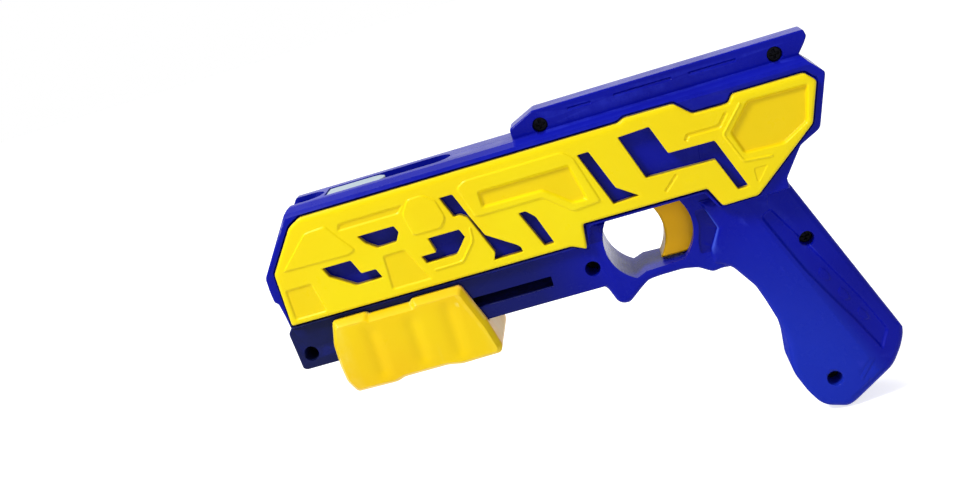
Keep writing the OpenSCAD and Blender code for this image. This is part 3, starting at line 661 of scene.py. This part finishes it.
def boolean(piece, other, operation, name):
    """The union, difference or overlap of two closed pieces, as a new piece."""
    step = piece.modifiers.new("cut", "BOOLEAN")
    step.operation = operation
    step.object = other
    step.solver = "EXACT"
    step.use_self = True
    mesh = evaluated(piece, name)
    bpy.data.objects.remove(other)
    return object_from(mesh, name)


# Materials

class Nodes:
    """Adds nodes to one node tree. A value may be a socket, a number or a colour."""

    def __init__(self, tree):
        self.tree = tree

    def add(self, kind, **settings):
        """A new node with its settings."""
        node = self.tree.nodes.new(kind)
        for key, value in settings.items():
            setattr(node, key, value)
        return node

    def link(self, source, socket):
        """Leads one socket into another."""
        self.tree.links.new(source, socket)

    def put(self, value, socket):
        """Gives a socket its value."""
        if isinstance(value, bpy.types.NodeSocket):
            self.link(value, socket)
        else:
            socket.default_value = (*value, 1) if isinstance(value, tuple) else value

    def maths(self, operation, *values, **settings):
        """A number worked out from up to three values."""
        node = self.add("ShaderNodeMath", operation=operation, **settings)
        for value, socket in zip(values, node.inputs):
            self.put(value, socket)
        return node.outputs["Value"]

    def fold(self, operation, total, *others, **settings):
        """A row of numbers joined one after another by an operation of two."""
        for value in others:
            total = self.maths(operation, total, value, **settings)
        return total

    def place(self):
        """The object's own coordinates, in metres."""
        return self.add("ShaderNodeTexCoord").outputs["Object"]

    def place_maths(self, operation, vector):
        """A number worked out from the object's own coordinates and a vector."""
        node = self.add("ShaderNodeVectorMath", operation=operation)
        node.inputs[1].default_value = vector
        self.link(self.place(), node.inputs[0])
        return node.outputs["Value"]

    def measure(self, way):
        """X or Z, OUT from the mid plane, IN from the grip's back, or AWAY from the middle of the
        grip's painted sheen.
        """
        if way == "IN":
            root, _, ahead = grip_frame()
            inward = self.place_maths("DOT_PRODUCT", (ahead[0], 0, ahead[1]))
            return self.maths("SUBTRACT", inward, float(root @ ahead) * MM)
        if way == "AWAY":
            return self.place_maths("DISTANCE", tuple(part * MM for part in SHEEN_CENTRE))
        parts = self.add("ShaderNodeSeparateXYZ")
        self.link(self.place(), parts.inputs["Vector"])
        return self.maths("ABSOLUTE", parts.outputs["Y"]) if way == "OUT" else parts.outputs[way]

    def spread(self, value, low, high, start=0.3, end=0.7):
        """Maps a value from the range start to end onto the range low to high."""
        node = self.add("ShaderNodeMapRange")
        node.inputs["From Min"].default_value = start
        node.inputs["From Max"].default_value = end
        node.inputs["To Min"].default_value = low
        node.inputs["To Max"].default_value = high
        self.link(value, node.inputs["Value"])
        return node.outputs["Result"]

    def blend(self, share, first, second):
        """Two colours mixed by a share."""
        node = self.add("ShaderNodeMix", data_type="RGBA")
        self.link(share, node.inputs["Factor"])
        self.put(first, node.inputs["A"])
        self.put(second, node.inputs["B"])
        return node.outputs["Result"]

    def noise(self, ripples, detail=3.0, rough=0.5, place=None):
        """Noise on the object's own coordinates or on a place, in ripples per metre."""
        texture = self.add("ShaderNodeTexNoise")
        texture.inputs["Scale"].default_value = ripples
        texture.inputs["Detail"].default_value = detail
        texture.inputs["Roughness"].default_value = rough
        self.link(self.place() if place is None else place, texture.inputs["Vector"])
        return texture.outputs["Fac"]

    def bump(self, shader, height, strength, distance):
        """Raises a shader's surface by a pattern, with its distance in metres."""
        node = self.add("ShaderNodeBump")
        node.inputs["Strength"].default_value = strength
        node.inputs["Distance"].default_value = distance
        self.link(height, node.inputs["Height"])
        self.link(node.outputs["Normal"], shader.inputs["Normal"])


def band(way, low, high):
    """A limit that is 1 between two places in millimetres, and 0 elsewhere."""
    return lambda nodes: nodes.maths(
        "COMPARE", nodes.measure(way), (low + high) / 2 * MM, (high - low) / 2 * MM)


def ramp(way, start, end, low=0.0, high=1.0):
    """A limit that goes evenly from low to high between two places in millimetres."""
    return lambda nodes: nodes.spread(nodes.measure(way), low, high, start * MM, end * MM)


def fall(way, start, end):
    """A limit that goes evenly from 1 to 0 between two places in millimetres."""
    return ramp(way, start, end, 1.0, 0.0)


def zone_share(nodes, limits):
    """1 inside a zone and 0 outside it: all its limits multiplied."""
    return nodes.fold("MULTIPLY", *(limit(nodes) for limit in limits))


# Painted shade on the seats behind the covers' windows, but the rear one
SEAT_SHADE_ZONE = [band("OUT", 13.1, 14.3), band("Z", -20.5, 18.5), fall("X", 118, 126)]
# Painted shade, a dark navy, on the lower housing and the barrel's foot at the muzzle, fading out
# to the trigger
LOWER_SHADE_ZONE = [band("Z", -38, -19), ramp("X", 15, 85, 1.0, 0.74), fall("X", 85, 111)]
# Painted shade on the floor of the guard's sunk panel
PANEL_SHADE_ZONE = [band("X", 139.5, 150.5), band("Z", -36.5, -19.5), band("OUT", 9.25, 9.95)]
# Painted highlight, a pale blue, along the edge where the grip stands out over the guard's panel
CREST_HIGHLIGHT_ZONE = [band("X", 143.6, 150.8), ramp("Z", -37, -34), fall("Z", -22.5, -19.8),
              ramp("OUT", 10.1, 10.4), fall("OUT", 10.7, 11.1)]
# Painted sheen, a lighter blue, on the grip's front round this place
SHEEN_CENTRE = (160, 0, -92)
GRIP_SHEEN_ZONE = [fall("AWAY", 20, 64), ramp("IN", 11, 16)]
# Places without gloss: inside the lower housing, the grip's front, the ledges beside the rail
MATT_ZONES = [[fall("OUT", 12.4, 13.2), band("Z", -38.5, -19.5), band("X", -6, 106)],
              [fall("OUT", 9.5, 11), fall("Z", -48, -44), ramp("IN", 19, 21)],
              [band("Z", 19.2, 21.4), ramp("X", 90.5, 92.5)]]
# Painted shade, a deeper yellow, in the sunk fields and cut-outs of a side cover
SUNK_SHADE_ZONE = [fall("OUT", 16.2, 16.8)]
# Painted shade, a dark amber, deep in the cut-outs of a side cover and along its foot, but for its
# rear field
WALL_SHADE_ZONE = [fall("OUT", 15.5, 16.1), fall("X", 161.5, 163)]
# Painted shade, a deeper orange, towards the pump's lower front end, and a painted reflection, a
# warmer peach orange, on its rear face between the facets
PUMP_LOW_SHADE_ZONE = [ramp("Z", -47, -26, 0.6, 0.0), ramp("X", 14, 52, 1.0, 0.1)]
PUMP_REAR_REFLECTION_ZONE = [fall("OUT", 15.7, 16.5), ramp("X", 57, 59)]

# Patterns in ripples per metre: drift of colour, patches of scuffing and painted glint, gloss,
# moulding
#  grain; on metal the drawn or turned marks and the darkening
DRIFT_RIPPLES = 22.0
PATCH_RIPPLES = 160.0
GLOSS_RIPPLES = 90.0
GRAIN_RIPPLES = 1400.0
MARK_RIPPLES = 900.0
TARNISH_RIPPLES = 70.0
# Pointiness from which an edge shows scuffing and a painted glint, at which it shows most, and how
# much it shows then
WORN_GLINT_EDGE = (0.52, 0.62)
WORN_GLINT_MOST = 0.55
# Noise from which a patch shows the scuffing and glint and at which it shows them in full, and the
# least it shows
WORN_GLINT_PATCH = (0.4, 0.62)
WORN_GLINT_LEAST = 0.25
# How far below and above its middle the roughness goes
PLASTIC_GLOSS = (-0.05, 0.08)
METAL_GLOSS = (-0.08, 0.1)
# Strength of the moulding grain and of a metal's marks, and the marks' depth in millimetres
GRAIN_STRENGTH = 0.5
MARK_STRENGTH = 0.4
MARK_DEPTH = 0.01


def new_material(name):
    """A new material with its nodes and its shader."""
    material = bpy.data.materials.new(name)
    material.use_nodes = True
    return material, Nodes(material.node_tree), material.node_tree.nodes["Principled BSDF"]


def plastic(name, colour, deep, worn_glint, rough, specular=0.4, grain=0.012, zones=(), matt=()):
    """Moulded plastic: slow drift from its colour to a deeper one, paler edges that are partly
    scuffing and partly a painted glint, moulding grain so many millimetres deep, and gloss that
    varies a little. Each zone paints shade, a highlight or a reflection in a colour of its own,
    and the matt ones have no gloss."""
    material, nodes, shader = new_material(name)
    drift = nodes.spread(nodes.noise(DRIFT_RIPPLES, detail=2.0), 0.0, 1.0)
    final = nodes.blend(drift, colour, deep)
    # The zones paint shade, highlights and reflections over the colour
    for limits, tone in zones:
        final = nodes.blend(zone_share(nodes, limits), final, tone)
    # Paler edges: partly scuffing, partly a painted glint
    pointed = nodes.add("ShaderNodeNewGeometry").outputs["Pointiness"]
    edge = nodes.spread(pointed, 0.0, WORN_GLINT_MOST, *WORN_GLINT_EDGE)
    patch_noise = nodes.noise(PATCH_RIPPLES, detail=4.0, rough=0.7)
    patch = nodes.spread(patch_noise, WORN_GLINT_LEAST, 1.0, *WORN_GLINT_PATCH)
    final = nodes.blend(nodes.maths("MULTIPLY", edge, patch), final, worn_glint)
    nodes.link(final, shader.inputs["Base Color"])
    gloss = nodes.noise(GLOSS_RIPPLES, detail=5.0, rough=0.65)
    gloss = nodes.spread(gloss, *(rough + part for part in PLASTIC_GLOSS))
    gloss = nodes.fold("MAXIMUM", gloss, *(zone_share(nodes, limits) for limits in matt))
    nodes.link(gloss, shader.inputs["Roughness"])
    shader.inputs["Specular IOR Level"].default_value = specular
    nodes.bump(shader, nodes.noise(GRAIN_RIPPLES, detail=2.0), GRAIN_STRENGTH, grain * MM)
    return material


def metal(name, colour, deep, rough, stretch=(1.0, 1.0, 1.0)):
    """Drawn or turned metal: fine marks, which a stretch draws out, and slow darkening."""
    material, nodes, shader = new_material(name)
    place = nodes.add("ShaderNodeMapping")
    place.inputs["Scale"].default_value = stretch
    nodes.link(nodes.place(), place.inputs["Vector"])
    marks = nodes.noise(MARK_RIPPLES, place=place.outputs["Vector"])
    tarnish = nodes.spread(nodes.noise(TARNISH_RIPPLES), 0.0, 1.0)
    nodes.link(nodes.blend(tarnish, colour, deep), shader.inputs["Base Color"])
    shader.inputs["Metallic"].default_value = 1.0
    gloss = nodes.spread(marks, *(rough + part for part in METAL_GLOSS))
    nodes.link(gloss, shader.inputs["Roughness"])
    nodes.bump(shader, marks, MARK_STRENGTH, MARK_DEPTH * MM)
    return material


# Plastics: colour, deeper colour, colour of edges that are scuffed and carry a painted glint,
# roughness and specular level
BLUE = plastic("blue_plastic", (0.002, 0.0065, 0.38), (0.002, 0.0045, 0.3),
               (0.02, 0.032, 0.5), 0.24, 0.08,
               zones=((GRIP_SHEEN_ZONE, (0.008, 0.026, 0.46)), (SEAT_SHADE_ZONE, (0.002, 0.004, 0.23)),
                      (LOWER_SHADE_ZONE, (0.005, 0.008, 0.06)), (PANEL_SHADE_ZONE, (0.002, 0.004, 0.22)),
                      (CREST_HIGHLIGHT_ZONE, (0.05, 0.09, 0.62))), matt=MATT_ZONES)
YELLOW = plastic("yellow_plastic", (0.94, 0.78, 0.002), (0.92, 0.7, 0.002),
                 (0.98, 0.88, 0.04), 0.3, 0.15,
                 zones=((SUNK_SHADE_ZONE, (0.88, 0.63, 0.002)), (WALL_SHADE_ZONE, (0.2, 0.1, 0.01))))
PUMP_YELLOW = plastic("pump_yellow", (0.93, 0.7, 0.003), (0.9, 0.56, 0.003),
                      (0.98, 0.87, 0.25), 0.32, 0.14,
                      zones=((PUMP_LOW_SHADE_ZONE, (0.86, 0.47, 0.003)),
                             (PUMP_REAR_REFLECTION_ZONE, (0.98, 0.52, 0.08))))
ORANGE = plastic("trigger_orange", (0.98, 0.53, 0.003), (0.95, 0.46, 0.002),
                 (0.98, 0.62, 0.03), 0.36, 0.15)
WHITE = plastic("white_plastic", (0.37, 0.46, 0.52), (0.33, 0.42, 0.48),
                (0.55, 0.62, 0.66), 0.38, 0.25)
# Near black: painted shade, so the slide block and sear lever read dark inside the housing
SLOT_SHADE_GREY = plastic("grey_plastic_slot_shade", (0.012, 0.013, 0.018), (0.008, 0.009, 0.012),
               (0.03, 0.03, 0.035), 0.7, 0.0)
NYLON = plastic("bearing_nylon", (0.66, 0.63, 0.54), (0.6, 0.57, 0.48),
                (0.75, 0.72, 0.65), 0.45, 0.3)
RUBBER = plastic("black_rubber", (0.02, 0.02, 0.021), (0.03, 0.03, 0.03),
                 (0.06, 0.06, 0.06), 0.7, 0.2, grain=0.03)
# Metals: colour, darker colour and roughness
STEEL = metal("turned_steel", (0.56, 0.57, 0.59), (0.45, 0.46, 0.48), 0.3, (0.1, 1, 1))
SPRING_STEEL = metal("spring_wire", (0.45, 0.46, 0.48), (0.34, 0.35, 0.37), 0.34)
# Near black: painted shade, so the wells that the screws sit in read dark
SCREW_SHADE_STEEL = metal("dark_screw", (0.012, 0.012, 0.014), (0.008, 0.008, 0.01), 0.5)
BRASS = metal("nut_brass", (0.72, 0.5, 0.2), (0.6, 0.4, 0.15), 0.3)


# Housing

def housing_form(name, to_row, flip):
    """One half of the housing as rounded solids that overlap, without its openings.

    They stand a hair outside the CAD half, which is then cut down to them.
    """
    shape = Shape()
    # Outline, width, rim, corners, how the width varies along it, and the slab's other options
    for outline, width, rim, corner, factor, options in (
            (side(BARREL_SHARES), BODY_W, 0.9, 1.0, None, {}),
            (side(LOWER_SHARES), LOWER_W, 0.9, 0.8, None, {}),
            (side(RAIL_SHARES), RAIL_W, 0.7, 0.7, None, {"fields": RAIL_FIELDS}),
            (side(GUARD_SHARES), LOWER_W, 1.8, 1.5, guard_factor,
             {"fields": GUARD_FIELDS, "step": 3.0}),
            (grip_side(GRIP_SHARES), GRIP_W, 2.2, GRIP_CORNERS, grip_factor,
             {"fields": GRIP_FIELDS, "widths": GRIP_RIMS, "step": 1.2, "place": grip_strip})):
        grown = inset(turned(outline, 1), -HAIR)
        start = len(shape.points)
        slab(shape, grown, -OVERRUN, width / 2 + HAIR, rim, corner, SEAM, **options)
        for points in shape.points[start:] if factor else ():
            points[:, 2] *= factor(points)
    return object_from(shape.mesh(name, to_row, flip), name)


def cover_seat(name, to_row, flip):
    """What a side cover's seat takes out of the housing: its outline with a gap all round."""
    shape = Shape()
    outline = inset(turned(side(COVER_SHARES), 1), -SEAT_GAP)
    slab(shape, outline, COVER_FOOT, COVER_FACE, SEAT_RIM, COVER_CORNER)
    return object_from(shape.mesh(name, to_row, flip), name)


def shell(node, to_row, flip):
    """A housing half: the CAD half cut down to the rounded form."""
    form = housing_form(node + "_form", to_row, flip)
    seat = cover_seat(node + "_seat", to_row, flip)
    piece = boolean(merged_copy(node, node + "_cad"), seat, "DIFFERENCE", node + "_cut")
    piece = boolean(piece, form, "INTERSECT", node + "_looks")
    dress(piece, node, BLUE)


def cover(node, to_row, flip):
    """A side cover: a rounded plate with cut-outs, shallow fields, ridges and grooves."""
    shape = Shape()
    ridges = [(stroke(line, width), rise, []) for line, width, rise in COVER_RIDGES]
    slab(shape, side(COVER_SHARES), COVER_FOOT, COVER_FACE, COVER_RIM, COVER_CORNER,
         openings=[side(window) for window in WINDOW_SHARES],
         fields=COVER_FIELDS + ridges, widths=COVER_RIMS)
    piece = object_from(shape.mesh(node + "_looks", to_row, flip), node + "_looks")
    dress(piece, node, YELLOW)


# Pump

def pump_half(node, to_row, flip):
    """A pump half: facets fall away from its side face, which has soft upright grooves.

    Each groove at u0 sinks the face by depth exp(-((u - u0) / width)^2), and fades out
    within a few millimetres of the facets.
    """
    points = np.array(PUMP_SHARES, float)
    top = PUMP_TOP_SHARE * BARREL_H
    outline = np.stack([PUMP_X - MOUTH_D + points[:, 0] * PUMP_L, top + points[:, 1] * PUMP_H], 1)
    face = PUMP_W / 2 + PUMP_HAIR
    shape = Shape()
    profile = [(0, -OVERRUN)] + [(share, face - depth) for share, depth in PUMP_FACET_PROFILE]
    lower, upper = rim_rings(shape, outline, PUMP_FACETS, profile, PUMP_CORNER)
    shape.cap([lower[0]], [lower[1]], up=False)
    grid, clear = spots(upper[0], PUMP_STEP)
    fade = smooth(np.clip(clear / PUMP_GROOVE_FADE, 0, 1))
    grooves = sum(np.exp(-((grid[:, 0] - at) / PUMP_GROOVE_W) ** 2) for at in PUMP_GROOVES)
    height = face - PUMP_GROOVE_DEPTH * grooves * fade
    shape.cap([upper[0]], [upper[1]], extra=grid, height=height)
    form = object_from(shape.mesh(node + "_form", to_row, flip), node + "_form")
    piece = boolean(merged_copy(node, node + "_cad"), form, "INTERSECT", node + "_looks")
    dress(piece, node, PUMP_YELLOW)


for make, left_node, right_node in (
        (shell, "left_shell", "right_shell"), (cover, "left_cover", "right_cover"),
        (pump_half, "pump_left_half", "pump_right_half")):
    make(left_node, left_side, False)
    make(right_node, right_side, True)

# Smaller pieces: node, material, rounding in millimetres
for node, material, width in (
        ("muzzle_ring", ORANGE, 0.4), ("chuck", WHITE, 0.2), ("carriage", WHITE, 0.3),
        ("slide_block", SLOT_SHADE_GREY, 0.4), ("trigger", ORANGE, 0.8), ("sear_lever", SLOT_SHADE_GREY, 0.25),
        ("bumper", RUBBER, 0.4), ("front_bearing", NYLON, 0.3), ("rear_bearing", NYLON, 0.3),
        ("thrust_washer", STEEL, 0.1), ("retaining_clip", STEEL, 0.1),
        ("spring_washer", STEEL, 0.1), ("spindle_nut", BRASS, 0.15), ("sear_pin", STEEL, 0.2),
        ("housing_screws", SCREW_SHADE_STEEL, 0.15), ("cover_screws", SCREW_SHADE_STEEL, 0.15),
        ("pump_screws", SCREW_SHADE_STEEL, 0.15)):
    rounded_copy(node, material, width)

# The spindle's twisted bar keeps its CAD shape.
spindle_mesh = frame["nodes"]["spindle"].data
spindle_mesh.materials.clear()
spindle_mesh.materials.append(STEEL)


# Springs

def spring(node, way, joint, keep, still_end, turns, wire):
    """A compression spring.

    Its wire's middle runs along (r cos a, r sin a, z), where z = w/2 + (l - w) (t - c sin(2 pi t)
    / (2 pi)) and c draws the end coils together. A circle of the wire's size is carried along it.
    """
    low, high = (np.array(corner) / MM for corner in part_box(node))
    length = high[way] - low[way]
    across = [k for k in range(3) if k != way]
    radius = (high[across[0]] - low[across[0]] - wire) / 2
    t = np.linspace(0, 1, turns * TURN_STEPS + 1)[:, None]
    ring = np.linspace(0, 2 * np.pi, WIRE_SIDES, endpoint=False)[None]
    angle = 2 * np.pi * turns * t
    rise = wire / 2 + (length - wire) * (t - END_COILS * np.sin(2 * np.pi * t) / (2 * np.pi))
    out = radius + wire / 2 * np.cos(ring)
    coil = np.zeros((len(t), WIRE_SIDES, 3))
    coil[:, :, across[0]] = out * np.cos(angle)
    coil[:, :, across[1]] = out * np.sin(angle)
    coil[:, :, way] = rise + wire / 2 * np.sin(ring)
    start = (low + high) / 2
    start[way] = low[way]
    shape = Shape()
    numbers = shape.grid(coil + start, closed=True)
    shape.faces.append(numbers[:1, ::-1])
    shape.faces.append(numbers[-1:])
    piece = object_from(shape.mesh(node + "_looks", lambda p: p, False), node + "_looks")
    bm = bmesh.new()
    bm.from_mesh(piece.data)
    bmesh.ops.recalc_face_normals(bm, faces=bm.faces)
    bm.to_mesh(piece.data)
    bm.free()
    dress(piece, node, SPRING_STEEL, WIRE_SHARP)
    anchor = start.copy()
    anchor[way] = (low[way], high[way])[still_end]
    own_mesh(piece)


# What each lies along (0 is X, 2 is Z), its joint, how much of its length is left at the
# joint's limit, the end that stays (0 low, 1 high), turns and wire
for values in (("main_spring", 0, "pump_slide", 0.54, 1, 13, 1.1),
               ("sear_spring", 2, "sear_pivot", 0.72, 0, 5, 0.6),
               ("trigger_spring", 0, "trigger_slide", 0.58, 1, 6, 0.8)):
    spring(*values)


# Studio

def camera():
    """The photograph's camera: it stands to the left, a little behind and above, and is
    rolled so that the muzzle end hangs low."""
    turn, rise, roll = (math.radians(angle) for angle in CAMERA_ANGLES)
    place = Vector(CAMERA_PLACE) * MM
    back = Vector((math.sin(turn) * math.cos(rise), -math.cos(turn) * math.cos(rise),
                   math.sin(rise)))
    level = Vector((math.cos(turn), math.sin(turn), 0))
    up = back.cross(level)
    right = level * math.cos(roll) - up * math.sin(roll)
    above = level * math.sin(roll) + up * math.cos(roll)
    data = bpy.data.cameras.new("camera")
    data.sensor_width = SENSOR_W
    data.lens = SENSOR_W * FOCAL_PIXELS / PHOTO_W
    data.clip_start = 0.01
    data.clip_end = 20.0
    piece = object_from(data, "camera")
    piece.matrix_world = Matrix((
        (right.x, above.x, back.x, place.x), (right.y, above.y, back.y, place.y),
        (right.z, above.z, back.z, place.z), (0, 0, 0, 1)))
    bpy.context.scene.camera = piece


def background_share(nodes):
    """1 for rays from the camera, from a reflection or through glass, and 0 for light."""
    path = nodes.add("ShaderNodeLightPath").outputs
    return nodes.fold("ADD", path["Is Camera Ray"], path["Is Glossy Ray"],
                      path["Is Transmission Ray"], use_clamp=True)


def world():
    """Plain white surroundings: full white to the camera, softer as light."""
    studio = bpy.data.worlds.new("studio")
    studio.use_nodes = True
    studio.node_tree.nodes.clear()
    nodes = Nodes(studio.node_tree)
    mix = nodes.add("ShaderNodeMixShader")
    nodes.link(background_share(nodes), mix.inputs["Fac"])
    for socket, strength in ((1, WORLD_LIGHT), (2, 1.0)):
        white = nodes.add("ShaderNodeBackground")
        white.inputs["Color"].default_value = (1, 1, 1, 1)
        white.inputs["Strength"].default_value = strength
        nodes.link(white.outputs["Background"], mix.inputs[socket])
    output = nodes.add("ShaderNodeOutputWorld")
    nodes.link(mix.outputs["Shader"], output.inputs["Surface"])
    bpy.context.scene.world = studio


def floor():
    """A wide floor under the grip's end, which glows white where it shows as background."""
    steps = np.linspace(-FLOOR_REACH, FLOOR_REACH, 3)
    x, y = np.meshgrid(steps, steps, indexing="ij")
    low = cad_box[0][2] / MM - FLOOR_GAP
    shape = Shape()
    shape.grid(np.stack([x, y, np.full(x.shape, low)], 2))
    piece = object_from(shape.mesh("floor", lambda p: p, False), "floor")
    material, nodes, shader = new_material("white_floor")
    grain = nodes.spread(nodes.noise(FLOOR_RIPPLES), 0.0, 1.0)
    nodes.link(nodes.blend(grain, (0.8, 0.8, 0.8), (0.78, 0.78, 0.78)), shader.inputs["Base Color"])
    shader.inputs["Roughness"].default_value = 0.9
    glow = nodes.add("ShaderNodeEmission")
    level = nodes.spread(background_share(nodes), 0.0, FLOOR_GLOW, 0.0, 1.0)
    nodes.link(level, glow.inputs["Strength"])
    total = nodes.add("ShaderNodeAddShader")
    nodes.link(shader.outputs["BSDF"], total.inputs[0])
    nodes.link(glow.outputs["Emission"], total.inputs[1])
    output = material.node_tree.nodes["Material Output"]
    nodes.link(total.outputs["Shader"], output.inputs["Surface"])
    piece.data.materials.append(material)


def lamp(name, place, size, power):
    """A soft square lamp that faces the middle of the launcher."""
    data = bpy.data.lights.new(name, "AREA")
    data.size = size
    data.energy = power
    piece = object_from(data, name)
    piece.location = place
    aim = Vector(LAMP_TARGET) - Vector(place)
    piece.rotation_euler = aim.to_track_quat("-Z", "Y").to_euler()


bpy.context.scene.view_settings.view_transform = "Standard"
camera()
world()
floor()
lamp("key", (-0.45, -0.46, 0.84), 0.25, 10.4)
lamp("top", (0.25, 0.35, 0.8), 0.5, 2.4)
lamp("fill", (0.6, -0.9, 0.1), 0.8, 1.0)
